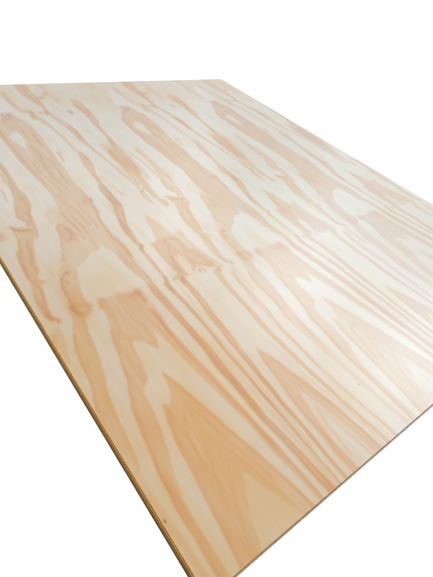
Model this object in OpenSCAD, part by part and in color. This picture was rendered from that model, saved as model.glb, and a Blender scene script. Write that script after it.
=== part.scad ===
// Structural pine plywood sheet, lying flat with its face veneer up.
// The grain of the face runs along X. The origin is the middle of the underside.

/* [Sheet] */
// Length of the sheet, along the grain of its face
sheet_length = 1525; // [1200:5:2500]
// Width of the sheet, across the grain of its face
sheet_width = 1220; // [600:10:1250]
// Thickness of the sheet over all its plies
sheet_thickness = 25; // [18:1:30]

/* [Plies] */
// Thickness of the sanded face veneer and of the back veneer
outer_ply = 2.5; // [1.6:0.1:3.2]
// Width of the small chamfer along the sawn edges of the face and the back
eased_arris = 0.5; // [0.2:0.1:1]

/* [Hidden] */
inner_count = 5;
inner_ply = (sheet_thickness - 2 * outer_ply) / inner_count;
face_colour = [0.86, 0.72, 0.54];
back_colour = [0.80, 0.65, 0.46];
long_grain_colour = [0.74, 0.58, 0.39];
end_grain_colour = [0.50, 0.34, 0.16];

// Height of an inner ply's underside, where ply 0 lies on the back veneer
function inner_base(place) = outer_ply + place * inner_ply;

// One rectangular inner ply, sawn flush with the sheet's four edges
module inner_veneer(place, colour) {
    color(colour)
        translate([-sheet_length / 2, -sheet_width / 2, inner_base(place)])
            cube([sheet_length, sheet_width, inner_ply]);
}

// Section of an outer ply: square below, with both upper corners eased
module eased_section(span) {
    polygon([
        [-span / 2, 0],
        [span / 2, 0],
        [span / 2, outer_ply - eased_arris],
        [span / 2 - eased_arris, outer_ply],
        [-span / 2 + eased_arris, outer_ply],
        [-span / 2, outer_ply - eased_arris]
    ]);
}

// A run of that section along one edge direction of the sheet
module eased_run(span, run) {
    rotate([90, 0, 0])
        linear_extrude(height = run, center = true)
            eased_section(span);
}

// Outer ply, with its eased side up and its glued side at height 0
module outer_veneer() {
    intersection() {
        eased_run(sheet_length, sheet_width);
        rotate([0, 0, 90]) eased_run(sheet_width, sheet_length);
    }
}

module face_veneer() {
    color(face_colour)
        translate([0, 0, sheet_thickness - outer_ply])
            outer_veneer();
}

module upper_crossband() {
    inner_veneer(4, end_grain_colour);
}

module upper_long_ply() {
    inner_veneer(3, long_grain_colour);
}

module centre_crossband() {
    inner_veneer(2, end_grain_colour);
}

module lower_long_ply() {
    inner_veneer(1, long_grain_colour);
}

module lower_crossband() {
    inner_veneer(0, end_grain_colour);
}

module back_veneer() {
    color(back_colour)
        translate([0, 0, outer_ply])
            mirror([0, 0, 1])
                outer_veneer();
}

face_veneer();
upper_crossband();
upper_long_ply();
centre_crossband();
lower_long_ply();
lower_crossband();
back_veneer();
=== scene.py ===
import math

import bpy
import numpy as np
from mathutils import Matrix, Vector


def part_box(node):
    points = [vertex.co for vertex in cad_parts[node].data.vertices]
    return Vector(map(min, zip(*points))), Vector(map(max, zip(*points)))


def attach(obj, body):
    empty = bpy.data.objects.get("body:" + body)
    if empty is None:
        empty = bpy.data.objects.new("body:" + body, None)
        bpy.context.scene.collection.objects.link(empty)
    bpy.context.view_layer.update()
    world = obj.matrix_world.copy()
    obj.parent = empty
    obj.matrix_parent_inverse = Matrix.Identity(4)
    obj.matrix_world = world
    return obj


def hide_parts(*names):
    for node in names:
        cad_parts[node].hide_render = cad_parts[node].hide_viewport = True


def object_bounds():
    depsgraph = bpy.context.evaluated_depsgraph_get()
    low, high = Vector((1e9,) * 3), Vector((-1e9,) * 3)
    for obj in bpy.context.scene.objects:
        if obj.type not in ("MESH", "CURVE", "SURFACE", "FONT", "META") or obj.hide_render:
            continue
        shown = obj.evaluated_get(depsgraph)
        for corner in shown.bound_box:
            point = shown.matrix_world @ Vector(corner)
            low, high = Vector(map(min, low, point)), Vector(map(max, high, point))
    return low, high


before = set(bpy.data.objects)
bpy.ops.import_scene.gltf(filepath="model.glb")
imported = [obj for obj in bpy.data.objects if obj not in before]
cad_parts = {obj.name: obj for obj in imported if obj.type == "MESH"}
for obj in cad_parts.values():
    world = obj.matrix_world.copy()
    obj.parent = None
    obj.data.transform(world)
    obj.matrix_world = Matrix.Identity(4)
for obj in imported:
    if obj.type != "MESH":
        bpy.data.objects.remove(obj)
cadLow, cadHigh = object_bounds()
sheetLength = cadHigh.x - cadLow.x
sheetWidth = cadHigh.y - cadLow.y
perMetre = 1000.0  # millimetres
print("frame loaded, sheet", round(sheetLength, 3), "by", round(sheetWidth, 3))


# Grain and figure, worked out in millimetres from the near end and from the left edge

def smoothNoise(along, across, cellAlong, cellAcross, seed):
    # values from -1 to 1 on a grid of cells that repeats, smooth between the grid points
    cells = 256
    start = 64.0
    draws = np.random.default_rng(seed)
    lattice = draws.uniform(-1.0, 1.0, (cells, cells))
    a = along / cellAlong + start
    b = across / cellAcross + start
    a0 = np.floor(a).astype(int)
    b0 = np.floor(b).astype(int)
    fa = a - a0
    fb = b - b0
    fa = fa * fa * (3.0 - 2.0 * fa)
    fb = fb * fb * (3.0 - 2.0 * fb)
    a1 = (a0 + 1) % cells
    b1 = (b0 + 1) % cells
    a0 = a0 % cells
    b0 = b0 % cells
    low = lattice[a0, b0] * (1 - fb) + lattice[a0, b1] * fb
    high = lattice[a1, b0] * (1 - fb) + lattice[a1, b1] * fb
    return low * (1 - fa) + high * fa


# One turn of the peeled log, repeated across the sheet. Tone 0 is the palest early wood, 1 is brown
# late wood. A band's points are (along, left, right), a stroke's points are (along, across).

def band(tone, outline, woodTintAndPaintedLight=0.0, soft=4.5, mottle=0.24, later=0.92, laterBlush=0.25):
    return {"tone": tone, "outline": sorted(outline), "woodTintAndPaintedLight": woodTintAndPaintedLight, "soft": soft, "mottle": mottle,
            "later": later, "laterBlush": laterBlush}


def stroke(tone, halfWidth, points, woodTintAndPaintedLight=0.0):
    return {"tone": tone, "halfWidth": halfWidth, "points": points, "woodTintAndPaintedLight": woodTintAndPaintedLight}


# How far each turn of the log lies from the first one, as (along, across). Read off where features
# match, and set from the spacing of those elsewhere.
logTurns = [
    [(100, -410), (450, -385), (1450, -385)],
    [(0, 0)],
    [(100, 410), (275, 400), (450, 387), (800, 377), (1200, 381), (1450, 392)],
    [(100, 820), (450, 785), (700, 767), (1150, 763), (1450, 778)],
    [(100, 1230), (450, 1175), (850, 1150), (1450, 1165)],
]

bigFlame = [
    band(0.72, [(480, 52, 78), (450, 46, 70), (420, 34, 60), (390, 23, 56), (350, 18, 48),
                (328, 16, 43), (300, 9, 33), (250, 1, 24), (200, 0, 17), (172, -1, 12)], later=0.75),
    band(0.52, [(200, 0, 15), (150, -1, 10), (50, 2, 12), (0, 4, 14)], soft=8.0),
    band(0.40, [(452, 10, 21), (430, 7, 21), (400, 4, 14), (370, 0, 8)]),
    band(0.78, [(480, 106, 186), (466, 102, 190), (450, 104, 190), (400, 92, 189), (350, 79, 187),
                (300, 66, 188), (284, 63, 189), (255, 46, 190), (200, 37, 193), (150, 29, 196),
                (100, 25, 198), (0, 20, 202)], 0.1, later=0.72, laterBlush=-0.3),
    band(0.10, [(364, 117, 119), (350, 109, 130), (335, 107, 137), (318, 104, 164), (300, 101, 168),
                (288, 97, 169), (270, 76, 171), (225, 70, 175), (170, 60, 180), (150, 50, 181),
                (100, 38, 184), (50, 34, 188), (0, 33, 192)], -0.1),
    band(0.10, [(366, 154, 157), (350, 151, 161), (335, 145, 163), (316, 138, 167)], -0.1),
    band(0.70, [(286, 121, 123), (270, 118, 129), (250, 114, 133), (236, 107, 136), (222, 88, 138),
                (205, 80, 142), (180, 75, 147), (150, 72, 153), (100, 65, 164), (50, 56, 174),
                (0, 48, 180)], -0.3, later=0.64, laterBlush=-0.5),
    band(0.22, [(92, 125, 127), (80, 121, 131), (60, 110, 138), (40, 98, 145), (0, 84, 156)], -0.4),
    band(1.00, [(420, 176, 185), (350, 177, 186), (300, 177, 187), (200, 183, 192), (100, 189, 197),
                (0, 195, 201)]),
]
bigFlameLines = [
    stroke(0.98, 2.4, [(286, 122), (262, 126), (240, 131), (205, 139), (170, 146), (130, 155),
                       (80, 166), (0, 179)]),
    stroke(0.92, 2.4, [(232, 91), (210, 82), (180, 77), (150, 72), (100, 65), (50, 57), (0, 49)]),
    stroke(0.88, 2.2, [(120, 82), (160, 90), (190, 99), (207, 109), (196, 116), (203, 122), (178, 131),
                       (140, 140), (60, 156)]),
    stroke(0.84, 2.0, [(60, 78), (110, 92), (150, 106), (164, 114), (150, 123), (110, 136), (50, 150)]),
    stroke(0.80, 2.0, [(20, 76), (70, 96), (112, 118), (118, 126), (100, 134), (60, 146), (10, 160)]),
    stroke(0.95, 2.2, [(420, 35), (390, 25), (350, 20), (325, 17), (300, 10), (270, 5)]),
    stroke(0.98, 2.4, [(400, 91), (350, 80), (300, 67), (270, 56), (240, 46), (180, 35), (100, 26),
                       (0, 22)]),
    stroke(0.95, 2.2, [(470, 118), (450, 114), (430, 112), (405, 108), (380, 98)]),
    stroke(0.92, 2.2, [(468, 142), (440, 138), (410, 139), (385, 146), (370, 146)]),
    stroke(0.92, 2.0, [(440, 165), (415, 160), (390, 164), (372, 168), (340, 172)]),
    stroke(0.90, 2.0, [(395, 104), (375, 108), (366, 112), (372, 122), (366, 130), (345, 139)]),
]

straightBands = [
    band(1.02, [(482, 211, 225), (450, 205, 222), (350, 208, 223), (300, 208, 224), (250, 204, 222),
                (150, 206, 219), (100, 207, 220), (0, 213, 227)], 0.1, later=1.10),
    band(0.95, [(472, 243, 251), (455, 238, 249), (400, 243, 252), (350, 244, 252), (250, 238, 246),
                (100, 235, 241), (0, 233, 238)], 0.1, later=1.10),
    band(0.95, [(482, 280, 292), (450, 275, 286), (400, 274, 288), (350, 267, 281), (300, 261, 275),
                (200, 255, 265), (100, 252, 260), (0, 246, 253)], 0.1, later=1.10),
    band(0.78, [(458, 357, 375), (440, 352, 368), (420, 349, 361), (350, 346, 357), (300, 340, 352),
                (250, 340, 351), (150, 343, 351), (50, 349, 357), (0, 353, 361)], 0.2),
    band(0.60, [(440, 390, 402), (400, 380, 391), (350, 375, 387), (300, 373, 385), (250, 368, 378),
                (150, 366, 372), (50, 372, 380), (0, 376, 384)], 0.2),
    band(0.30, [(300, 226, 234), (200, 224, 233), (100, 224, 234), (0, 228, 233)], 0.1),
]
straightLines = [
    stroke(1.12, 2.2, [(430, 208), (350, 211), (300, 211), (250, 208), (150, 209), (50, 213),
                       (0, 216)]),
    stroke(1.05, 1.8, [(440, 219), (350, 220), (300, 221), (250, 218), (150, 216), (60, 218)]),
    stroke(1.05, 1.8, [(420, 276), (350, 270), (300, 264), (200, 257), (100, 254)]),
    stroke(0.50, 1.6, [(250, 330), (200, 331), (150, 334), (60, 345), (0, 347)]),
    stroke(0.45, 1.6, [(440, 262), (380, 258), (320, 253), (250, 250), (160, 247), (60, 243)]),
]

smallFlame = [
    band(0.80, [(250, 296, 298), (235, 291, 302), (200, 284, 310), (150, 278, 322), (100, 272, 331),
                (0, 266, 341)], 0.2),
    band(0.20, [(144, 299, 301), (130, 294, 305), (100, 287, 311), (50, 281, 318), (0, 278, 323)]),
]
smallFlameLines = [
    stroke(1.02, 2.6, [(225, 304), (180, 315), (130, 326), (80, 332), (0, 340)]),
    stroke(0.92, 2.2, [(230, 291), (180, 282), (120, 275), (50, 270), (0, 267)]),
    stroke(0.60, 1.8, [(20, 287), (70, 293), (100, 299), (108, 301), (90, 306), (40, 313), (0, 316)]),
]

leftColumn = [
    band(0.78, [(742, 48, 58), (725, 46, 88), (700, 45, 82), (680, 38, 70), (650, 28, 60),
                (620, 23, 50), (600, 21, 47), (580, 22, 37), (570, 22, 41), (555, 18, 38),
                (540, 14, 32), (500, 9, 24), (480, 9, 21), (466, 13, 24)], -0.2),
    band(0.70, [(598, 84, 106), (590, 78, 107), (575, 71, 108), (560, 73, 108), (540, 68, 100),
                (520, 66, 96), (500, 64, 89), (480, 58, 87), (466, 56, 86), (450, 58, 74)],
         -0.1, soft=8.0),
    band(0.30, [(545, 52, 64), (520, 49, 64), (490, 48, 62), (470, 48, 58)], -0.2, soft=7.0),
    band(0.34, [(616, 72, 100), (602, 58, 98), (586, 55, 88), (570, 62, 76)], 0.1, soft=10.0),
    band(0.78, [(1012, 108, 118), (950, 104, 117), (900, 100, 116), (850, 90, 118), (820, 82, 116),
                (800, 80, 110), (785, 76, 102), (770, 74, 99), (752, 82, 96), (720, 76, 92),
                (694, 76, 86)], -0.2, later=0.62),
]
leftColumnLines = [
    stroke(1.30, 3.6, [(488, 16), (476, 16), (469, 20), (463, 26), (457, 25)], 0.2),
    stroke(1.15, 2.6, [(572, 90), (556, 73), (535, 67), (510, 64), (490, 62), (478, 57), (464, 58),
                       (454, 66)]),
    stroke(0.90, 6.0, [(482, 60), (484, 70), (481, 80), (473, 86), (464, 84), (457, 76), (456, 66)],
           -0.2),
    stroke(1.26, 6.0, [(482, 61), (472, 61), (463, 64)], -0.4),
    stroke(0.98, 4.5, [(476, 72), (476, 80), (472, 88)], -0.3),
    stroke(0.64, 4.0, [(471, 72), (468, 76)]),
    stroke(1.20, 4.0, [(571, 92), (564, 90)]),
    stroke(1.20, 4.0, [(553, 75), (545, 80)]),
    stroke(0.95, 3.0, [(530, 84), (515, 78), (500, 74)]),
    stroke(1.00, 2.4, [(568, 40), (562, 45)]),
    stroke(1.10, 2.6, [(662, 31), (645, 27), (630, 24), (610, 25), (585, 22), (565, 26), (545, 30),
                       (520, 25), (500, 20)]),
    stroke(0.98, 2.4, [(702, 50), (680, 42), (660, 37), (640, 30)]),
    stroke(1.02, 3.6, [(692, 62), (666, 54), (650, 53), (625, 45)]),
    stroke(1.28, 4.4, [(746, 48), (735, 52), (727, 60), (723, 70), (722, 80)]),
    stroke(1.10, 2.8, [(818, 82), (795, 76), (777, 72), (766, 76), (757, 83), (750, 86), (744, 80)]),
    stroke(1.10, 2.4, [(767, 80), (777, 84), (780, 91), (772, 98)]),
    stroke(0.35, 3.4, [(771, 89), (766, 90)]),
    stroke(0.88, 2.4, [(768, 99), (750, 95), (730, 91), (710, 88), (694, 81)]),
    stroke(1.00, 3.0, [(850, 104), (830, 108), (812, 108)]),
]

creamColumn = [
    band(0.58, [(1290, 214, 240), (1260, 200, 250), (1230, 185, 262), (1200, 166, 265),
                (1100, 159, 260), (1000, 162, 254), (950, 165, 249), (900, 168, 242), (850, 171, 246),
                (800, 166, 246), (770, 160, 243), (750, 156, 240), (728, 135, 236), (700, 126, 230),
                (670, 120, 228), (650, 112, 228), (620, 104, 231), (596, 98, 229), (580, 98, 229),
                (562, 104, 226)], 0.15, mottle=0.30, later=1.15, laterBlush=0.3),
    band(0.10, [(1175, 203, 214), (1150, 182, 218), (1120, 186, 214), (1080, 195, 208)], 0.0, soft=9.0),
    band(0.30, [(790, 142, 160), (770, 128, 160), (740, 125, 157), (722, 122, 150)], -0.5, soft=8.0),
    band(0.00, [(628, 186, 188), (612, 181, 192), (604, 152, 197), (594, 141, 198), (584, 132, 198),
                (574, 116, 198), (560, 110, 198), (540, 104, 199), (520, 97, 203), (500, 90, 208),
                (488, 88, 208), (481, 92, 207)], -0.7, soft=7.0, laterBlush=0.3),
    band(0.76, [(640, 214, 231), (600, 206, 231), (580, 203, 228), (550, 200, 221), (520, 204, 223),
                (500, 208, 226), (478, 211, 226)], 0.6),
    band(0.84, [(724, 138, 145), (710, 132, 152), (690, 128, 156), (670, 124, 158), (655, 130, 150)],
         0.3),
]
creamColumnLines = [
    stroke(0.94, 2.4, [(650, 114), (670, 121), (690, 128), (712, 133), (724, 142), (712, 150),
                       (692, 156), (668, 161)]),
    stroke(1.08, 4.4, [(702, 148), (682, 148), (664, 139)]),
    stroke(1.02, 3.0, [(766, 160), (745, 163), (720, 166), (700, 168), (680, 168), (656, 165)]),
    stroke(0.32, 2.4, [(722, 149), (705, 157), (685, 162), (668, 165)]),
    stroke(0.98, 2.6, [(745, 238), (730, 232), (715, 228), (700, 225), (680, 226), (660, 222),
                       (630, 218)]),
    stroke(1.02, 3.0, [(797, 246), (780, 241), (755, 238), (735, 236)]),
    stroke(0.92, 7.0, [(802, 240), (791, 232), (780, 224)]),
    stroke(1.22, 3.6, [(793, 246), (788, 246)]),
    stroke(0.86, 4.0, [(835, 186), (800, 185), (780, 190), (740, 196), (700, 198)]),
    stroke(0.84, 2.4, [(790, 212), (770, 206), (740, 208), (710, 212), (680, 208)]),
    stroke(0.90, 2.4, [(745, 172), (725, 178), (700, 182), (675, 180)]),
    stroke(0.98, 3.0, [(610, 222), (592, 224), (575, 226), (560, 221), (530, 218), (500, 222),
                       (470, 218), (445, 211)]),
    stroke(0.92, 3.0, [(630, 106), (615, 102), (604, 98)]),
    stroke(1.00, 8.0, [(470, 182), (462, 181), (452, 180)], -0.3),
    stroke(0.90, 6.0, [(470, 158), (460, 166), (450, 172)], 0.1),
    stroke(1.05, 6.0, [(462, 159), (463, 168), (466, 178)], -0.3),
    stroke(1.20, 5.0, [(468, 183), (458, 181), (448, 185), (440, 181)], -0.3),
    stroke(0.50, 3.0, [(456, 190), (449, 191)]),
    stroke(1.02, 5.0, [(474, 115), (468, 108), (460, 105)], -0.2),
    stroke(0.95, 2.2, [(1150, 247), (1120, 246), (1080, 247)]),
    stroke(0.90, 2.2, [(1042, 262), (1030, 270), (1000, 268), (984, 264)]),
    stroke(0.80, 1.8, [(1040, 284), (1028, 273)]),
    stroke(0.82, 3.0, [(1190, 172), (1120, 170), (1040, 172), (960, 174), (890, 176)]),
    stroke(0.84, 3.6, [(1080, 218), (1030, 220), (960, 206), (900, 208), (850, 214)]),
    stroke(0.80, 2.6, [(1010, 236), (960, 232), (900, 226), (840, 232)]),
    stroke(0.78, 2.4, [(1000, 190), (940, 188), (880, 192), (830, 200)]),
]

darkSpindle = [
    band(0.64, [(1026, 322, 327), (1010, 316, 330), (980, 309, 331), (950, 303, 328), (920, 301, 318),
                (880, 298, 309), (846, 297, 306)], -0.6, soft=5.0),
    band(1.00, [(852, 292, 305), (820, 284, 304), (800, 284, 304), (770, 283, 305), (750, 280, 304),
                (720, 270, 295), (700, 265, 285), (680, 259, 276), (660, 254, 271), (640, 252, 268),
                (600, 253, 263)], 0.2, later=0.80),
    band(0.95, [(604, 253, 264), (592, 256, 269), (580, 252, 260), (550, 250, 259), (500, 249, 257),
                (476, 249, 256), (458, 240, 250)], 0.3),
    band(0.48, [(1288, 296, 304), (1260, 292, 310), (1220, 300, 318), (1180, 309, 321),
                (1100, 313, 323), (1040, 314, 322), (1016, 318, 326)], 0.1, soft=5.0),
    band(0.16, [(900, 314, 326), (850, 310, 324), (800, 308, 322), (780, 308, 318)], -0.7, soft=6.0),
]
darkSpindleLines = [
    stroke(1.20, 3.6, [(832, 301), (800, 299), (780, 298), (758, 296)]),
    stroke(1.20, 4.4, [(782, 291), (765, 289), (748, 291)]),
    stroke(1.10, 2.2, [(748, 303), (735, 297), (720, 287), (705, 280), (690, 275)]),
    stroke(0.66, 2.2, [(738, 293), (722, 285), (705, 277), (690, 271), (674, 267)]),
    stroke(1.20, 3.6, [(692, 267), (675, 264), (660, 261), (648, 258)]),
    stroke(0.70, 2.0, [(640, 265), (620, 261), (604, 259)]),
    stroke(0.55, 2.0, [(835, 325), (810, 325), (796, 327), (786, 328)]),
    stroke(0.90, 2.6, [(793, 327), (788, 328)]),
    stroke(1.28, 3.2, [(482, 252), (470, 250), (462, 242), (455, 247), (446, 243), (439, 246)], -0.2),
    stroke(1.20, 3.2, [(592, 262), (584, 260), (576, 256)], -0.2),
    stroke(0.45, 1.8, [(760, 276), (740, 269), (715, 265)]),
]

knottyPatch = [
    band(0.58, [(697, 331, 333), (680, 328, 336), (670, 325, 339), (650, 319, 344), (620, 310, 347),
                (592, 302, 350)], 0.0, later=1.35, laterBlush=0.4),
    band(0.90, [(600, 310, 346), (590, 290, 350), (570, 286, 352), (530, 283, 366), (495, 282, 376),
                (480, 284, 376), (466, 300, 368)], 0.2),
    band(0.45, [(604, 352, 376), (590, 348, 374), (570, 352, 370), (545, 356, 374)], 0.2),
    band(0.20, [(544, 314, 320), (530, 308, 325), (510, 304, 325), (490, 303, 322), (470, 302, 316),
                (460, 304, 312)], -0.4),
    band(0.55, [(606, 366, 375), (580, 362, 370), (520, 368, 376), (480, 374, 384), (460, 380, 388)],
         0.2),
]
knottyPatchLines = [
    stroke(1.10, 4.0, [(578, 311), (588, 318), (591, 327), (586, 337), (580, 345)]),
    stroke(0.62, 3.6, [(586, 326), (582, 328)]),
    stroke(1.12, 2.8, [(530, 310), (537, 317), (541, 324)]),
    stroke(0.75, 2.0, [(592, 288), (560, 284), (520, 282), (490, 281)]),
    stroke(1.08, 3.6, [(575, 318), (558, 314), (545, 306), (520, 298), (495, 291)]),
    stroke(1.08, 3.6, [(545, 343), (520, 334), (496, 334)]),
    stroke(1.05, 3.0, [(572, 345), (550, 346), (530, 350), (505, 358), (482, 364)]),
    stroke(1.12, 3.4, [(486, 345), (479, 354), (474, 366), (462, 374), (452, 372)]),
    stroke(0.08, 3.0, [(461, 322), (473, 324), (480, 335), (473, 346), (461, 348)]),
    stroke(1.00, 2.2, [(465, 328), (472, 329), (475, 335), (472, 341), (465, 342), (462, 335),
                       (465, 328)]),
    stroke(0.05, 3.0, [(468, 335), (464, 335)]),
    stroke(1.28, 4.4, [(482, 289), (470, 282), (460, 280), (450, 277)]),
    stroke(0.80, 5.0, [(467, 266), (471, 276), (478, 288)]),
]

farColumn = [
    band(0.52, [(1288, 346, 352), (1250, 344, 360), (1200, 352, 373), (1150, 355, 376),
                (1100, 355, 371), (1000, 362, 373), (950, 368, 379), (900, 372, 384), (800, 378, 387),
                (738, 374, 380)], 0.1, soft=4.0),
    band(0.76, [(1190, 357, 373), (1150, 357, 376), (1090, 356, 370)], -0.2, soft=5.0),
    band(0.34, [(1060, 396, 450), (1000, 390, 452), (920, 384, 450), (850, 386, 440), (815, 392, 420)],
         0.1, soft=12.0),
    band(0.92, [(1024, 406, 436), (1000, 400, 442), (970, 394, 440), (900, 396, 436), (870, 402, 424),
                (840, 402, 412)], -0.3, soft=14.0, mottle=0.35),
    band(0.78, [(1205, 443, 457), (1150, 444, 454), (1100, 440, 450), (1060, 430, 446),
                (1026, 425, 442)], 0.1, soft=6.0),
    band(0.66, [(836, 395, 417), (800, 394, 410), (780, 391, 410), (760, 392, 409), (742, 397, 403)],
         0.0, soft=5.0),
]
farColumnLines = [
    stroke(0.82, 2.0, [(790, 377), (770, 372), (745, 372), (727, 377)]),
    stroke(0.88, 2.2, [(800, 392), (788, 384), (784, 378)]),
    stroke(0.80, 2.0, [(782, 402), (766, 393), (752, 391)]),
    stroke(0.88, 8.0, [(735, 403), (723, 406), (713, 405)]),
    stroke(1.05, 2.2, [(738, 399), (734, 407)]),
    stroke(0.85, 1.8, [(1006, 482), (990, 484), (960, 484), (935, 481), (905, 484), (880, 483),
                       (852, 478)]),
    stroke(0.60, 1.8, [(1000, 458), (940, 460), (880, 464), (840, 458)]),
    stroke(0.90, 2.4, [(940, 400), (900, 398), (860, 394), (820, 388)]),
]

farEnd = [
    band(0.66, [(1540, 325, 365), (1480, 318, 362), (1440, 320, 356), (1400, 328, 362),
                (1320, 340, 352), (1268, 334, 344)], -0.6, soft=6.0),
    band(0.64, [(1382, 455, 470), (1350, 448, 480), (1320, 446, 478), (1250, 450, 474),
                (1210, 446, 472), (1176, 448, 462)], -0.5, soft=6.0),
    band(0.50, [(1465, 258, 278), (1400, 258, 272), (1340, 262, 280), (1310, 268, 300),
                (1290, 276, 302)], -0.4, soft=6.0),
    band(0.46, [(1540, 180, 214), (1470, 184, 206), (1400, 190, 204), (1330, 196, 206)],
         -0.5, soft=6.0),
    band(0.40, [(1540, 396, 420), (1480, 400, 418), (1420, 398, 424), (1350, 404, 420)],
         -0.5, soft=6.0),
    band(0.00, [(1455, 236, 244), (1400, 226, 256), (1350, 214, 262), (1306, 200, 262)], soft=6.0),
]
farEndLines = [
    stroke(1.18, 8.0, [(1293, 233), (1280, 228), (1267, 224)]),
    stroke(0.85, 6.0, [(1300, 214), (1285, 212), (1265, 218)]),
    stroke(0.90, 7.0, [(1302, 301), (1288, 298), (1270, 293), (1250, 290)]),
    stroke(1.05, 3.4, [(1293, 322), (1284, 320)]),
    stroke(1.18, 6.0, [(1294, 340), (1284, 336)]),
    stroke(0.92, 2.6, [(1335, 350), (1305, 345), (1290, 343), (1266, 338)]),
    stroke(1.28, 4.4, [(1291, 414), (1280, 413), (1270, 414)]),
    stroke(0.80, 7.0, [(1320, 455), (1290, 460), (1265, 462), (1240, 455)]),
    stroke(1.12, 4.4, [(1287, 470), (1276, 471)]),
    stroke(1.05, 7.0, [(1408, 376), (1398, 366)]),
    stroke(0.75, 3.0, [(1500, 348), (1450, 340), (1400, 346), (1350, 344)]),
    stroke(0.95, 5.0, [(1436, 396), (1426, 394)]),
]

logBands = (bigFlame + straightBands + smallFlame + leftColumn + creamColumn + darkSpindle + knottyPatch
            + farColumn + farEnd)
logStrokes = (bigFlameLines + straightLines + smallFlameLines + leftColumnLines + creamColumnLines
              + darkSpindleLines + knottyPatchLines + farColumnLines + farEndLines)


def softStep(value):
    value = np.clip(value, 0.0, 1.0)
    return value * value * (3.0 - 2.0 * value)


def strokeDistance(along, across, points):
    best = np.full(along.shape, np.inf)
    for (a0, c0), (a1, c1) in zip(points[:-1], points[1:]):
        runA, runC = a1 - a0, c1 - c0
        share = ((along - a0) * runA + (across - c0) * runC) / (runA * runA + runC * runC)
        share = np.clip(share, 0.0, 1.0)
        best = np.minimum(best, np.hypot(along - a0 - share * runA, across - c0 - share * runC))
    return best


# What tells the later turns from the first one, and how the tints run over the sheet, some of them
# partly painted light, in millimetres
figure = {
    "firstTurn": 1,
    "laterSoft": 1.7,
    "laterStroke": 0.70,
    "lastBlush": 0.4,
    "farTone": {"start": 1230.0, "reach": 150.0, "share": 0.14},
    "strawAndPaintedWarmLight": {"share": 0.45, "edge": 110.0, "corner": 260.0, "end": 650.0, "fade": 300.0, "tone": 0.16},
    "patches": ((0.50, 100.0, 28.0, 8), (0.35, 40.0, 12.0, 9)),
    "pinkLimit": 0.45,
    "ashAndPaintedSheen": {"share": 0.9, "near": 250.0, "delay": 480.0, "reach": 380.0},
    "faint": {"share": 0.20, "tone": 0.16, "start": 180.0, "reach": 500.0, "end": 480.0, "fade": 280.0},
    "gain": {"share": 0.66, "tone": 0.12, "start": 500.0, "reach": 700.0, "spareDark": 0.75},
    "darkest": 1.5,
}


def paintBand(part, turn, z, x, grain, tone, woodTintAndPaintedLight):
    later = turn > figure["firstTurn"]
    points = np.array(part["outline"], float)
    near = (x > points[:, 1].min() - 20.0) & (x < points[:, 2].max() + 20.0)
    near &= (z > points[0, 0] - 30.0) & (z < points[-1, 0] + 30.0)
    if not near.any():
        return
    streak, blotch = grain["streak"][near], grain["blotch"][near]
    zs, xs = z[near], x[near]
    left = np.interp(zs, points[:, 0], points[:, 1])
    right = np.interp(zs, points[:, 0], points[:, 2])
    inside = np.minimum(xs - left, right - xs)
    ends = points[-1, 0] - zs
    if points[0, 0] > 0:
        ends = np.minimum(ends, zs - points[0, 0])
    soft = figure["laterSoft"] * part["soft"] if later else part["soft"]
    mask = softStep(0.5 + inside / soft) * softStep(0.5 + ends / (3.0 * soft))
    # dark just inside both sides, then paler with rings that follow the outline
    depth = np.maximum(inside, 0.0)
    rim = np.exp(-np.abs(depth - 3.0) / 4.0)
    ring = np.cos((depth + 3.0 * blotch + 2.0 * streak) * 0.34) ** 4 * (1.0 - rim)
    wander = 0.6 * streak + 0.7 * blotch
    fill = part["tone"] * (0.78 + 0.26 * rim + 0.16 * ring + part["mottle"] * wander)
    tint = part["woodTintAndPaintedLight"]
    if later:
        fill = fill * part["later"]
        tint = tint + (part["laterBlush"] if turn == figure["firstTurn"] + 1 else figure["lastBlush"])
    tone[near] += (fill - tone[near]) * mask
    woodTintAndPaintedLight[near] += (tint - woodTintAndPaintedLight[near]) * mask * 0.8


def paintStroke(line, turn, z, x, tone, woodTintAndPaintedLight):
    alongs, acrosses = zip(*line["points"])
    reach = 4.0 * line["halfWidth"]
    near = (z > min(alongs) - reach) & (z < max(alongs) + reach)
    near &= (x > min(acrosses) - reach) & (x < max(acrosses) + reach)
    if not near.any():
        return
    away = strokeDistance(z[near], x[near], line["points"]) / line["halfWidth"]
    mask = 0.80 * np.exp(-1.3 * away ** 2) + 0.16 * np.exp(-0.22 * away ** 2)
    strength = figure["laterStroke"] if turn > figure["firstTurn"] else 1.0
    tone[near] += (line["tone"] - tone[near]) * mask * strength
    woodTintAndPaintedLight[near] += line["woodTintAndPaintedLight"] * mask


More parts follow.
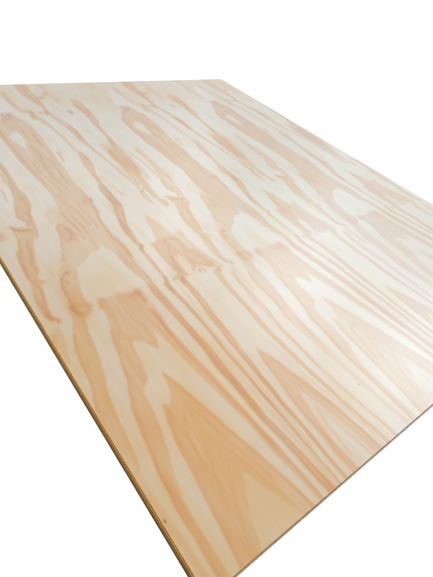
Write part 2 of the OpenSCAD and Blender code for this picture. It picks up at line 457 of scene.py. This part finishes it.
def tintFigure(along, across, seed, tone, woodTintAndPaintedLight):
    # straw coloured wood at the near left corner and along the left edge, partly the wood's own colour
    # and partly a painted pool of warm light; the corner's tone is raised with it
    strawAndPaintedWarmLight = figure["strawAndPaintedWarmLight"]
    nearHalf = 1.0 - softStep((along - strawAndPaintedWarmLight["end"]) / strawAndPaintedWarmLight["fade"])
    woodTintAndPaintedLight -= strawAndPaintedWarmLight["share"] * np.exp(-np.abs(across) / strawAndPaintedWarmLight["edge"]) * nearHalf
    woodTintAndPaintedLight -= strawAndPaintedWarmLight["share"] * np.exp(-np.hypot(along, across) / strawAndPaintedWarmLight["corner"])
    corner = np.exp(-np.hypot(0.6 * along, across) / strawAndPaintedWarmLight["corner"])
    tone += strawAndPaintedWarmLight["tone"] * corner * (1.0 - softStep(tone / 0.9))
    # patches of yellower and of pinker wood
    for share, cellAlong, cellAcross, offset in figure["patches"]:
        woodTintAndPaintedLight += share * smoothNoise(along, across, cellAlong, cellAcross, seed + offset)
    # the brown bands turn ashen towards the right, sooner in the near half: partly the wood's own grey,
    # partly a painted sheen of light
    ashAndPaintedSheen = figure["ashAndPaintedSheen"]
    ashAndSheenStart = ashAndPaintedSheen["near"] + ashAndPaintedSheen["delay"] * softStep((along - 400.0) / 300.0)
    ashAndSheenMask = softStep((across - ashAndSheenStart) / ashAndPaintedSheen["reach"]) * softStep((tone - 0.12) / 0.25)
    woodTintAndPaintedLight = np.minimum(woodTintAndPaintedLight, figure["pinkLimit"])
    woodTintAndPaintedLight += (1.0 - woodTintAndPaintedLight) * ashAndPaintedSheen["share"] * ashAndSheenMask
    # the figure is fainter at the right of the near half, partly a painted sheen washing it out, and
    # stronger towards the far end
    faint, gain = figure["faint"], figure["gain"]
    nearHalf = 1.0 - softStep((along - faint["end"]) / faint["fade"])
    fainter = softStep((across - faint["start"]) / faint["reach"]) * nearHalf
    tone += (faint["tone"] - tone) * faint["share"] * fainter
    stronger = gain["share"] * softStep((along - gain["start"]) / gain["reach"])
    stronger *= 1.0 - gain["spareDark"] * softStep((tone - 0.55) / 0.5)
    tone += (tone - gain["tone"]) * stronger
    return np.clip(tone, 0.0, figure["darkest"]), np.clip(woodTintAndPaintedLight, -1.0, 1.0)


def paintFigure(along, across, seed):
    # tone and tint of the veneer at each point; the tint partly carries painted light: a warm pool at
    # the near left and a sheen towards the right
    ragAlong = 4.0 * smoothNoise(along, across, 60.0, 16.0, seed)
    ragAlong += 1.6 * smoothNoise(along, across, 30.0, 8.0, seed + 1)
    ragAcross = 1.6 * smoothNoise(along, across, 45.0, 30.0, seed + 2)
    ragAcross += 0.8 * smoothNoise(along, across, 20.0, 11.0, seed + 3)
    streak = smoothNoise(along, across, 110.0, 4.5, seed + 4)
    blotch = smoothNoise(along, across, 55.0, 14.0, seed + 6)
    cloud = smoothNoise(along, across, 220.0, 70.0, seed + 5)
    grain = {"streak": streak, "blotch": blotch}
    far = figure["farTone"]
    tone = 0.10 + 0.05 * streak + 0.08 * cloud + 0.04 * blotch
    tone = tone + far["share"] * softStep((along - far["start"]) / far["reach"])
    woodTintAndPaintedLight = 0.25 * cloud
    for turn, shifts in enumerate(logTurns):
        stops, offsets = zip(*shifts)
        x = across - np.interp(along, stops, offsets) + ragAcross
        for part in logBands:
            paintBand(part, turn, along + ragAlong, x, grain, tone, woodTintAndPaintedLight)
        for line in logStrokes:
            paintStroke(line, turn, along + 0.35 * ragAlong, x, tone, woodTintAndPaintedLight)
    return tintFigure(along, across, seed, tone, woodTintAndPaintedLight)


# Meshes

def meshObject(name, points, faces):
    mesh = bpy.data.meshes.new(name)
    mesh.from_pydata(points, [], faces)
    mesh.update()
    piece = bpy.data.objects.new(name, mesh)
    bpy.context.scene.collection.objects.link(piece)
    return piece


def addAttribute(piece, name, values):
    layer = piece.data.attributes.new(name, "FLOAT", "POINT")
    layer.data.foreach_set("value", np.asarray(values, np.float32))


def closerShares(count, length, closer):
    # shares of the length with lines standing closer together in some stretches
    steps = 3050
    fine = np.linspace(0.0, 1.0, steps + 1)
    weight = np.ones(steps + 1)
    for start, end, times in closer:
        weight[(fine * length > start / perMetre) & (fine * length < end / perMetre)] = times
    total = np.concatenate([[0.0], np.cumsum((weight[1:] + weight[:-1]) / 2.0)])
    return np.interp(np.linspace(0.0, total[-1], count + 1), total, fine)


def outerVeneer(name, node, spec, up, finishes):
    # a fine grid on the shown side, an eased edge all round and a plain glued side
    low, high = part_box(node)
    ease = spec["ease"]
    rows, columns = spec["rows"], spec["columns"]
    shareX = closerShares(rows, sheetLength, spec["closeRows"])
    shareY = closerShares(columns, sheetWidth, spec["closeColumns"])
    xs = low.x + ease + (high.x - low.x - 2.0 * ease) * shareX
    ys = high.y - ease - (high.y - low.y - 2.0 * ease) * shareY
    gridX, gridY = np.meshgrid(xs, ys, indexing="ij")
    along = (gridX - cadLow.x) * perMetre
    across = (cadHigh.y - gridY) * perMetre
    if not up:
        along = sheetLength * perMetre - along
        across = across + spec["shift"]
    tone, woodTintAndPaintedLight = paintFigure(along, across, spec["seed"])
    swell = smoothNoise(along, across, 300.0, 90.0, 71)
    dip = spec["relief"] * (0.5 - 0.35 * np.clip(tone, 0, 1) + 0.5 * (1 + swell) / 2)
    shownZ = high.z if up else low.z
    gluedZ = low.z if up else high.z
    inward = -1.0 if up else 1.0
    rim = np.zeros_like(gridX, bool)
    rim[0, :] = rim[-1, :] = rim[:, 0] = rim[:, -1] = True
    gridZ = np.where(rim, shownZ, shownZ + inward * dip)
    points = np.stack([gridX, gridY, gridZ], -1).reshape(-1, 3)
    index = np.arange((rows + 1) * (columns + 1)).reshape(rows + 1, columns + 1)
    quads = np.stack([index[:-1, :-1], index[:-1, 1:], index[1:, 1:], index[1:, :-1]], -1)
    quads = quads.reshape(-1, 4)
    loop = list(index[0, :]) + list(index[1:, -1]) + list(index[-1, -2::-1]) + list(index[-2:0:-1, 0])
    ring = points[loop]
    outX = np.where(np.isclose(ring[:, 0], xs[-1]), high.x, ring[:, 0])
    outX = np.where(np.isclose(ring[:, 0], xs[0]), low.x, outX)
    outY = np.where(np.isclose(ring[:, 1], ys[-1]), low.y, ring[:, 1])
    outY = np.where(np.isclose(ring[:, 1], ys[0]), high.y, outY)
    count = len(loop)
    wallTop = np.stack([outX, outY, np.full(count, shownZ + inward * ease)], -1)
    wallFoot = np.stack([outX, outY, np.full(count, gluedZ)], -1)
    base = len(points)
    points = np.concatenate([points, wallTop, wallFoot])
    faces = quads.tolist()
    for i in range(count):
        j = (i + 1) % count
        faces.append([loop[j], loop[i], base + i, base + j])
        faces.append([base + j, base + i, base + count + i, base + count + j])
    faces.append([base + count + i for i in range(count)][::-1])
    if not up:
        faces = [face[::-1] for face in faces]
    piece = meshObject(name, points.tolist(), [[int(v) for v in face] for face in faces])
    for finish in finishes:
        piece.data.materials.append(finish)
    picks = np.zeros(len(faces), int)
    walls = np.repeat([2, 1, 2, 1], [columns, rows, columns, rows])
    picks[len(quads):len(faces) - 1] = np.repeat(walls, 2)
    piece.data.polygons.foreach_set("material_index", picks)
    addAttribute(piece, "tone", np.concatenate([tone.ravel(), np.full(2 * count, spec["wallTone"])]))
    addAttribute(piece, "woodTintAndPaintedLight", np.concatenate([woodTintAndPaintedLight.ravel(), np.zeros(2 * count)]))
    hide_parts(node)
    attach(piece, "root")
    return piece


# Materials

def nodeTree(name):
    material = bpy.data.materials.new(name)
    material.use_nodes = True
    tree = material.node_tree
    tree.nodes.clear()
    output = tree.nodes.new("ShaderNodeOutputMaterial")
    shader = tree.nodes.new("ShaderNodeBsdfPrincipled")
    tree.links.new(shader.outputs["BSDF"], output.inputs["Surface"])
    return material, tree, shader


def stretchedNoise(tree, scale, detail, roughness):
    place = tree.nodes.new("ShaderNodeTexCoord")
    stretch = tree.nodes.new("ShaderNodeMapping")
    stretch.inputs["Scale"].default_value = scale
    noise = tree.nodes.new("ShaderNodeTexNoise")
    noise.inputs["Scale"].default_value = 1.0
    noise.inputs["Detail"].default_value = detail
    noise.inputs["Roughness"].default_value = roughness
    tree.links.new(place.outputs["Object"], stretch.inputs["Vector"])
    tree.links.new(stretch.outputs["Vector"], noise.inputs["Vector"])
    return noise


def mathNode(tree, operation, first, second):
    node = tree.nodes.new("ShaderNodeMath")
    node.operation = operation
    for socket, value in zip(node.inputs, (first, second)):
        if isinstance(value, (int, float)):
            socket.default_value = value
        else:
            tree.links.new(value, socket)
    return node.outputs["Value"]


def colourRamp(tree, factor, stops):
    ramp = tree.nodes.new("ShaderNodeValToRGB")
    while len(ramp.color_ramp.elements) < len(stops):
        ramp.color_ramp.elements.new(0.5)
    for element, (place, colour) in zip(ramp.color_ramp.elements, stops):
        element.position = place
        element.color = (*colour, 1.0)
    tree.links.new(factor, ramp.inputs["Fac"])
    return ramp.outputs["Color"]


def mixColour(tree, kind, factor, first, second):
    mix = tree.nodes.new("ShaderNodeMix")
    mix.data_type = "RGBA"
    mix.blend_type = kind
    tree.links.new(factor, mix.inputs["Factor"])
    for socket, value in ((mix.inputs[6], first), (mix.inputs[7], second)):
        if isinstance(value, tuple):
            socket.default_value = (*value, 1.0)
        else:
            tree.links.new(value, socket)
    return mix.outputs[2]


pineFace = {
    "tones": [(0.00, (0.72, 0.63, 0.53)), (0.17, (0.70, 0.565, 0.42)), (0.37, (0.69, 0.48, 0.28)),
              (0.57, (0.68, 0.41, 0.21)), (0.73, (0.64, 0.34, 0.155)), (1.00, (0.52, 0.235, 0.095))],
    "pink": (0.70, 0.42, 0.31),
    # the grey below is partly a painted sheen on the brown bands, the yellow one partly a painted pool
    # of warm light
    "ashAndPaintedSheen": (0.60, 0.48, 0.42),
    "strawAndPaintedWarmLight": (1.00, 0.88, 0.64),
    "finish": {"Roughness": (0.28, 0.34), "Coat Weight": (0.8, 0.48)},
    "constants": {"Specular IOR Level": 0.45, "Coat Roughness": 0.30},
    "marks": [  # a nick by the left edge and a speck of pitch
        {"place": (cadLow.x + 0.0944, cadHigh.y - 0.0036, cadHigh.z), "colour": (0.20, 0.08, 0.02),
         "size": (0.0042, 0.0012, 1.0)},
        {"place": (cadLow.x + 0.098, cadHigh.y - 0.4055, cadHigh.z), "colour": (0.42, 0.24, 0.13),
         "size": (0.0024, 0.0017, 1.0)},
    ],
}


def smallMark(tree, place, size):
    # one inside a small oval, falling to nothing at its rim
    where = tree.nodes.new("ShaderNodeTexCoord")
    fit = tree.nodes.new("ShaderNodeMapping")
    fit.vector_type = "TEXTURE"
    fit.inputs["Location"].default_value = place
    fit.inputs["Scale"].default_value = size
    away = tree.nodes.new("ShaderNodeVectorMath")
    away.operation = "LENGTH"
    tree.links.new(where.outputs["Object"], fit.inputs["Vector"])
    tree.links.new(fit.outputs["Vector"], away.inputs[0])
    edge = tree.nodes.new("ShaderNodeMapRange")
    edge.inputs["From Min"].default_value = 1.0
    edge.inputs["From Max"].default_value = 0.5
    tree.links.new(away.outputs["Value"], edge.inputs["Value"])
    return edge.outputs["Result"]


def veneerMaterial(name, spec):
    material, tree, shader = nodeTree(name)
    tone = tree.nodes.new("ShaderNodeAttribute")
    tone.attribute_name = "tone"
    woodTintAndPaintedLight = tree.nodes.new("ShaderNodeAttribute")
    woodTintAndPaintedLight.attribute_name = "woodTintAndPaintedLight"
    fibre = stretchedNoise(tree, (9.0, 420.0, 40.0), 4.0, 0.6)
    vein = stretchedNoise(tree, (3.0, 110.0, 40.0), 3.0, 0.55)
    streaks = mathNode(tree, "ADD", mathNode(tree, "MULTIPLY", fibre.outputs["Fac"], 0.12),
                       mathNode(tree, "MULTIPLY", vein.outputs["Fac"], 0.34))
    streaks = mathNode(tree, "SUBTRACT", streaks, 0.23)
    reach = mathNode(tree, "ADD", mathNode(tree, "MULTIPLY", tone.outputs["Fac"], 0.9), 0.25)
    level = mathNode(tree, "ADD", tone.outputs["Fac"], mathNode(tree, "MULTIPLY", streaks, reach))
    level = mathNode(tree, "DIVIDE", level, figure["darkest"])
    colour = colourRamp(tree, level, spec["tones"])
    pinkShare = mathNode(tree, "MAXIMUM", woodTintAndPaintedLight.outputs["Fac"], 0.0)
    pinkShare = mathNode(tree, "MULTIPLY", pinkShare, 0.35)
    strawAndWarmLightShare = mathNode(tree, "MULTIPLY", woodTintAndPaintedLight.outputs["Fac"], -1.0)
    strawAndWarmLightShare = mathNode(tree, "MULTIPLY", mathNode(tree, "MAXIMUM", strawAndWarmLightShare, 0.0), 0.9)
    # past the pink limit the tint turns ash grey, partly a painted sheen; below zero it is multiplied
    # towards straw yellow, partly a painted pool of warm light
    ashAndSheenShare = mathNode(tree, "SUBTRACT", woodTintAndPaintedLight.outputs["Fac"], figure["pinkLimit"])
    ashAndSheenShare = mathNode(tree, "MULTIPLY", mathNode(tree, "MAXIMUM", ashAndSheenShare, 0.0), 0.55)
    colour = mixColour(tree, "MIX", pinkShare, colour, spec["pink"])
    colour = mixColour(tree, "MIX", ashAndSheenShare, colour, spec["ashAndPaintedSheen"])
    colour = mixColour(tree, "MULTIPLY", strawAndWarmLightShare, colour, spec["strawAndPaintedWarmLight"])
    for mark in spec["marks"]:
        inMark = smallMark(tree, mark["place"], mark["size"])
        colour = mixColour(tree, "MIX", inMark, colour, mark["colour"])
    tree.links.new(colour, shader.inputs["Base Color"])
    for socket, (paleValue, brownValue) in spec["finish"].items():
        span = tree.nodes.new("ShaderNodeMapRange")
        span.inputs["From Max"].default_value = 0.7
        span.inputs["To Min"].default_value = paleValue
        span.inputs["To Max"].default_value = brownValue
        tree.links.new(level, span.inputs["Value"])
        tree.links.new(span.outputs["Result"], shader.inputs[socket])
    for socket, value in spec["constants"].items():
        shader.inputs[socket].default_value = value
    bump = tree.nodes.new("ShaderNodeBump")
    bump.inputs["Strength"].default_value = 0.25
    bump.inputs["Distance"].default_value = 0.0004
    tree.links.new(fibre.outputs["Fac"], bump.inputs["Height"])
    tree.links.new(bump.outputs["Normal"], shader.inputs["Normal"])
    return material


# Sawn edges: end grain where the grain meets the edge, and painted shade on the long sides, darker
# towards the floor

glueShade = (0.42, 0.36, 0.30)  # what the wood is multiplied by at a glue line


def edgeMaterial(name, tones, roughness, gloss, scale):
    material, tree, shader = nodeTree(name)
    rim = tree.nodes.new("ShaderNodeAttribute")
    rim.attribute_name = "rim"
    grain = stretchedNoise(tree, scale, 4.0, 0.65)
    streak = stretchedNoise(tree, tuple(0.15 * value for value in scale), 3.0, 0.6)
    both = mathNode(tree, "ADD", mathNode(tree, "MULTIPLY", grain.outputs["Fac"], 0.6),
                    mathNode(tree, "MULTIPLY", streak.outputs["Fac"], 0.4))
    colour = colourRamp(tree, both, tones)
    colour = mixColour(tree, "MULTIPLY", rim.outputs["Fac"], colour, glueShade)
    tree.links.new(colour, shader.inputs["Base Color"])
    shader.inputs["Roughness"].default_value = roughness
    shader.inputs["Specular IOR Level"].default_value = gloss
    bump = tree.nodes.new("ShaderNodeBump")
    bump.inputs["Strength"].default_value = 0.4
    bump.inputs["Distance"].default_value = 0.0006
    tree.links.new(grain.outputs["Fac"], bump.inputs["Height"])
    tree.links.new(bump.outputs["Normal"], shader.inputs["Normal"])
    return material


def edgeTones(dark, middle, pale):
    return [(0.30, dark), (0.50, middle), (0.72, pale)]


endGrainTones = edgeTones((0.08, 0.035, 0.007), (0.17, 0.075, 0.018), (0.30, 0.150, 0.050))
# painted shade: darker end grain and long grain for the lower plies on the long sides, where shade
# falls near the floor
paintedShadeEndTones = edgeTones((0.03, 0.012, 0.002), (0.07, 0.028, 0.005), (0.14, 0.060, 0.014))
sideGrainTones = edgeTones((0.70, 0.380, 0.110), (0.86, 0.520, 0.190), (0.90, 0.620, 0.290))
paintedShadeSideTones = edgeTones((0.36, 0.190, 0.045), (0.50, 0.275, 0.070), (0.62, 0.370, 0.120))
edgeMaterials = {
    "endX": edgeMaterial("endGrainOnEnds", endGrainTones, 0.50, 0.5, (400.0, 500.0, 700.0)),
    "endY": edgeMaterial("endGrainOnSides", endGrainTones, 0.75, 0.0, (500.0, 400.0, 700.0)),
    "paintedShadeEndY": edgeMaterial("endGrainOnSidesPaintedShade", paintedShadeEndTones, 0.75, 0.0, (500.0, 400.0, 700.0)),
    "sideX": edgeMaterial("longGrainOnEnds", sideGrainTones, 0.45, 0.5, (400.0, 20.0, 900.0)),
    "sideY": edgeMaterial("longGrainOnSides", sideGrainTones, 0.6, 0.0, (20.0, 400.0, 900.0)),
    "paintedShadeSideY": edgeMaterial("longGrainOnSidesPaintedShade", paintedShadeSideTones, 0.6, 0.0, (20.0, 400.0, 900.0)),
}


# Outer veneers; close rows and columns are stretches in millimetres, with how much closer they stand

faceVeneer = {
    "columns": 460, "rows": 206, "ease": 0.0005, "relief": 0.00018, "wallTone": 0.45, "seed": 11,
    "closeRows": ((0, 430, 2.2), (430, 500, 3.6), (555, 610, 3.2), (640, 805, 2.0), (1255, 1310, 2.0)),
    "closeColumns": ((0, 440, 1.5),),
}
pineMaterial = veneerMaterial("sandedPine", pineFace)
face = outerVeneer("face_sheet", "face_veneer", faceVeneer, True,
                   [pineMaterial, edgeMaterials["sideY"], edgeMaterials["endX"]])
print("face veneer", len(face.data.polygons), "faces")


backVeneer = {
    "columns": 244, "rows": 150, "ease": 0.0005, "relief": 0.00030, "wallTone": 0.45, "seed": 43,
    "closeRows": (),
    "closeColumns": (),
    "shift": 137.0,
}
roughPine = dict(pineFace)
roughPine["marks"] = []
roughPine["finish"] = {"Roughness": (0.55, 0.62)}
roughPine["constants"] = {"Specular IOR Level": 0.35}
roughMaterial = veneerMaterial("unsandedPine", roughPine)
back = outerVeneer("back_sheet", "back_veneer", backVeneer, False,
                   # the back veneer's long edges are painted dark as shade near the floor
                   [roughMaterial, edgeMaterials["paintedShadeEndY"], edgeMaterials["endX"]])
print("back veneer", len(back.data.polygons), "faces")


# Inner plies: only their sawn edges show

sawnEdge = {
    "step": 0.004, "depth": 0.00025, "groove": 0.00020,
    "levels": (0.0, 0.10, 0.37, 0.63, 0.90, 1.0),
}


def innerPly(spec):
    node = spec["node"]
    low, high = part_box(node)
    step = sawnEdge["step"]
    countX = round((high.x - low.x) / step)
    countY = round((high.y - low.y) / step)
    xs = np.linspace(low.x, high.x, countX + 1)
    ys = np.linspace(high.y, low.y, countY + 1)
    loopX = np.concatenate([xs[:-1], np.full(countY, high.x), xs[:0:-1], np.full(countY, low.x)])
    loopY = np.concatenate([np.full(countX, high.y), ys[:-1], np.full(countX, low.y), ys[:0:-1]])
    inX = np.where(np.isclose(loopX, low.x), 1.0, np.where(np.isclose(loopX, high.x), -1.0, 0.0))
    inY = np.where(np.isclose(loopY, low.y), 1.0, np.where(np.isclose(loopY, high.y), -1.0, 0.0))
    corner = (np.abs(inX) + np.abs(inY)) > 1.5
    count = len(loopX)
    travel = np.arange(count) * step * perMetre
    levels = sawnEdge["levels"]
    points = []
    rims = []
    for share in levels:
        atRim = share in (0.0, 1.0)
        lane = np.full(count, share * 60.0)
        chatter = 0.5 + 0.5 * smoothNoise(travel, lane, 9.0, 20.0, spec["seed"])
        depth = sawnEdge["depth"] * chatter + (sawnEdge["groove"] if atRim else 0.0)
        depth = np.where(corner, 0.0, depth)
        height = np.full(count, low.z + (high.z - low.z) * share)
        points.append(np.stack([loopX + inX * depth, loopY + inY * depth, height], -1))
        rims.append(np.full(count, 1.0 if atRim else 0.0))
    faces = []
    picks = []
    atEnds = np.repeat([0, 1, 0, 1], [countX, countY, countX, countY])
    for level in range(len(levels) - 1):
        foot = level * count
        head = foot + count
        for i in range(count):
            j = (i + 1) % count
            faces.append((foot + j, foot + i, head + i, head + j))
            picks.append(int(atEnds[i]))
    top = (len(levels) - 1) * count
    faces.append(tuple(range(count)))
    faces.append(tuple(range(top + count - 1, top - 1, -1)))
    picks += [0, 0]
    piece = meshObject(spec["name"], np.concatenate(points).tolist(), faces)
    addAttribute(piece, "rim", np.concatenate(rims))
    piece.data.materials.append(edgeMaterials[spec["onSides"]])
    piece.data.materials.append(edgeMaterials[spec["onEnds"]])
    piece.data.polygons.foreach_set("material_index", picks)
    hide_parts(node)
    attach(piece, "root")


innerPlies = [
    {"name": "upper_cross_sheet", "node": "upper_crossband", "slot": "crossband",
     "onSides": "endY", "onEnds": "sideX", "seed": 51},
    {"name": "upper_long_sheet", "node": "upper_long_ply", "slot": "long_ply",
     "onSides": "sideY", "onEnds": "endX", "seed": 52},
    {"name": "centre_cross_sheet", "node": "centre_crossband", "slot": "crossband",
     "onSides": "endY", "onEnds": "sideX", "seed": 53},
    # the two lower plies take painted shade on their long sides, darker towards the floor
    {"name": "lower_long_sheet", "node": "lower_long_ply", "slot": "long_ply",
     "onSides": "paintedShadeSideY", "onEnds": "endX", "seed": 54},
    {"name": "lower_cross_sheet", "node": "lower_crossband", "slot": "crossband",
     "onSides": "paintedShadeEndY", "onEnds": "sideX", "seed": 55},
]
for ply in innerPlies:
    innerPly(ply)
print("inner plies", len(innerPlies))


# Studio: a white floor, soft lights and the camera

def backgroundRays(tree):
    # one for the rays that show the background itself
    rays = tree.nodes.new("ShaderNodeLightPath")
    seen = mathNode(tree, "MAXIMUM", rays.outputs["Is Camera Ray"], rays.outputs["Is Glossy Ray"])
    return mathNode(tree, "MAXIMUM", seen, rays.outputs["Is Transmission Ray"])


def addFloor():
    # white paint that keeps a faint shadow and fades to a plain white further out
    material = bpy.data.materials.new("floorPaint")
    material.use_nodes = True
    tree = material.node_tree
    tree.nodes.clear()
    output = tree.nodes.new("ShaderNodeOutputMaterial")
    paint = tree.nodes.new("ShaderNodeBsdfDiffuse")
    paint.inputs["Color"].default_value = (0.22, 0.22, 0.22, 1.0)
    glow = tree.nodes.new("ShaderNodeEmission")
    glow.inputs["Color"].default_value = (1.0, 1.0, 1.0, 1.0)
    place = tree.nodes.new("ShaderNodeTexCoord")
    away = tree.nodes.new("ShaderNodeVectorMath")
    away.operation = "LENGTH"
    tree.links.new(place.outputs["Object"], away.inputs[0])
    fade = tree.nodes.new("ShaderNodeMapRange")
    fade.inputs["From Min"].default_value = 1.2
    fade.inputs["From Max"].default_value = 2.2
    fade.inputs["To Min"].default_value = 0.90
    fade.inputs["To Max"].default_value = 1.0
    tree.links.new(away.outputs["Value"], fade.inputs["Value"])
    seen = mathNode(tree, "MULTIPLY", backgroundRays(tree), fade.outputs["Result"])
    tree.links.new(seen, glow.inputs["Strength"])
    both = tree.nodes.new("ShaderNodeAddShader")
    tree.links.new(paint.outputs["BSDF"], both.inputs[0])
    tree.links.new(glow.outputs["Emission"], both.inputs[1])
    tree.links.new(both.outputs["Shader"], output.inputs["Surface"])
    half = 40.0
    corners = [(-half, -half, 0), (half, -half, 0), (half, half, 0), (-half, half, 0)]
    floor = meshObject("floor", corners, [(0, 1, 2, 3)])
    floor.data.materials.append(material)


def addLight(name, place, aim, size, power, colour):
    light = bpy.data.lights.new(name, "AREA")
    light.shape = "RECTANGLE"
    light.size, light.size_y = size
    light.energy = power
    light.color = colour
    lamp = bpy.data.objects.new(name, light)
    lamp.location = place
    lamp.rotation_euler = (Vector(aim) - Vector(place)).to_track_quat("-Z", "Y").to_euler()
    bpy.context.scene.collection.objects.link(lamp)


def addSpot(name, place, reach, power, colour):
    # a soft round pool of light straight below the lamp
    light = bpy.data.lights.new(name, "SPOT")
    light.spot_size = 2.0 * math.atan(reach / place[2])
    light.spot_blend = 1.0
    light.shadow_soft_size = 0.4
    light.energy = power
    light.color = colour
    lamp = bpy.data.objects.new(name, light)
    lamp.location = place
    lamp.visible_glossy = False  # no glare of the lamp itself
    bpy.context.scene.collection.objects.link(lamp)


def addWorld():
    world = bpy.data.worlds.new("studio")
    bpy.context.scene.world = world
    world.use_nodes = True
    tree = world.node_tree
    soft = tree.nodes["Background"]
    soft.inputs["Color"].default_value = (0.88, 0.94, 1.0, 1.0)
    soft.inputs["Strength"].default_value = 0.33
    white = tree.nodes.new("ShaderNodeBackground")
    white.inputs["Color"].default_value = (1.0, 1.0, 1.0, 1.0)
    white.inputs["Strength"].default_value = 1.0
    pick = tree.nodes.new("ShaderNodeMixShader")
    tree.links.new(backgroundRays(tree), pick.inputs[0])
    tree.links.new(soft.outputs["Background"], pick.inputs[1])
    tree.links.new(white.outputs["Background"], pick.inputs[2])
    tree.links.new(pick.outputs["Shader"], tree.nodes["World Output"].inputs["Surface"])


photoCamera = {
    "place": (-0.814, 0.779, 0.593),
    "aim": (-0.354, 0.282, 0.025),
    "roll": 14.5,
    "lens": 27.57,
}


def addCamera(spec):
    data = bpy.data.cameras.new("photoCamera")
    data.lens = spec["lens"]
    data.sensor_width = 36.0
    data.clip_start = 0.01
    data.clip_end = 200.0
    camera = bpy.data.objects.new("photoCamera", data)
    place = Vector(spec["place"])
    turned = (Vector(spec["aim"]) - place).to_track_quat("-Z", "Y").to_matrix()
    turned = turned @ Matrix.Rotation(math.radians(spec["roll"]), 3, "Z")
    camera.matrix_world = Matrix.Translation(place) @ turned.to_4x4()
    bpy.context.scene.collection.objects.link(camera)
    bpy.context.scene.camera = camera


def around(bearing, height, distance):
    # bearing turns from the far end round to the right side
    flat = distance * math.cos(math.radians(height))
    return (flat * math.cos(math.radians(bearing)), -flat * math.sin(math.radians(bearing)),
            distance * math.sin(math.radians(height)))


daylight = (0.70, 0.87, 1.0)
addFloor()
addWorld()
addLight("windowFar", around(20, 34, 3.2), (0, 0, 0), (2.4, 1.1), 14.0, (1.0, 0.95, 0.90))
addLight("windowMid", around(50, 40, 3.2), (0, 0, 0), (1.8, 1.1), 11.0, daylight)
addLight("windowRight", around(80, 41, 3.2), (0, 0, 0), (1.8, 1.1), 22.0, daylight)
addLight("windowEnd", around(110, 41, 3.2), (0, 0, 0), (1.8, 1.1), 25.0, daylight)
addSpot("rightSpot", (-0.3, -0.35, 3.0), 0.7, 130.0, daylight)
addSpot("nearSpot", (-0.6, 0.45, 3.0), 0.7, 130.0, (1.0, 0.76, 0.50))
addLight("leftFill", (-0.3, 2.6, 0.35), (-0.3, 0.6, 0.0), (2.6, 0.5), 24.0, (1.0, 0.88, 0.70))
addCamera(photoCamera)
scene = bpy.context.scene
scene.view_settings.view_transform = "Standard"
print("studio ready")
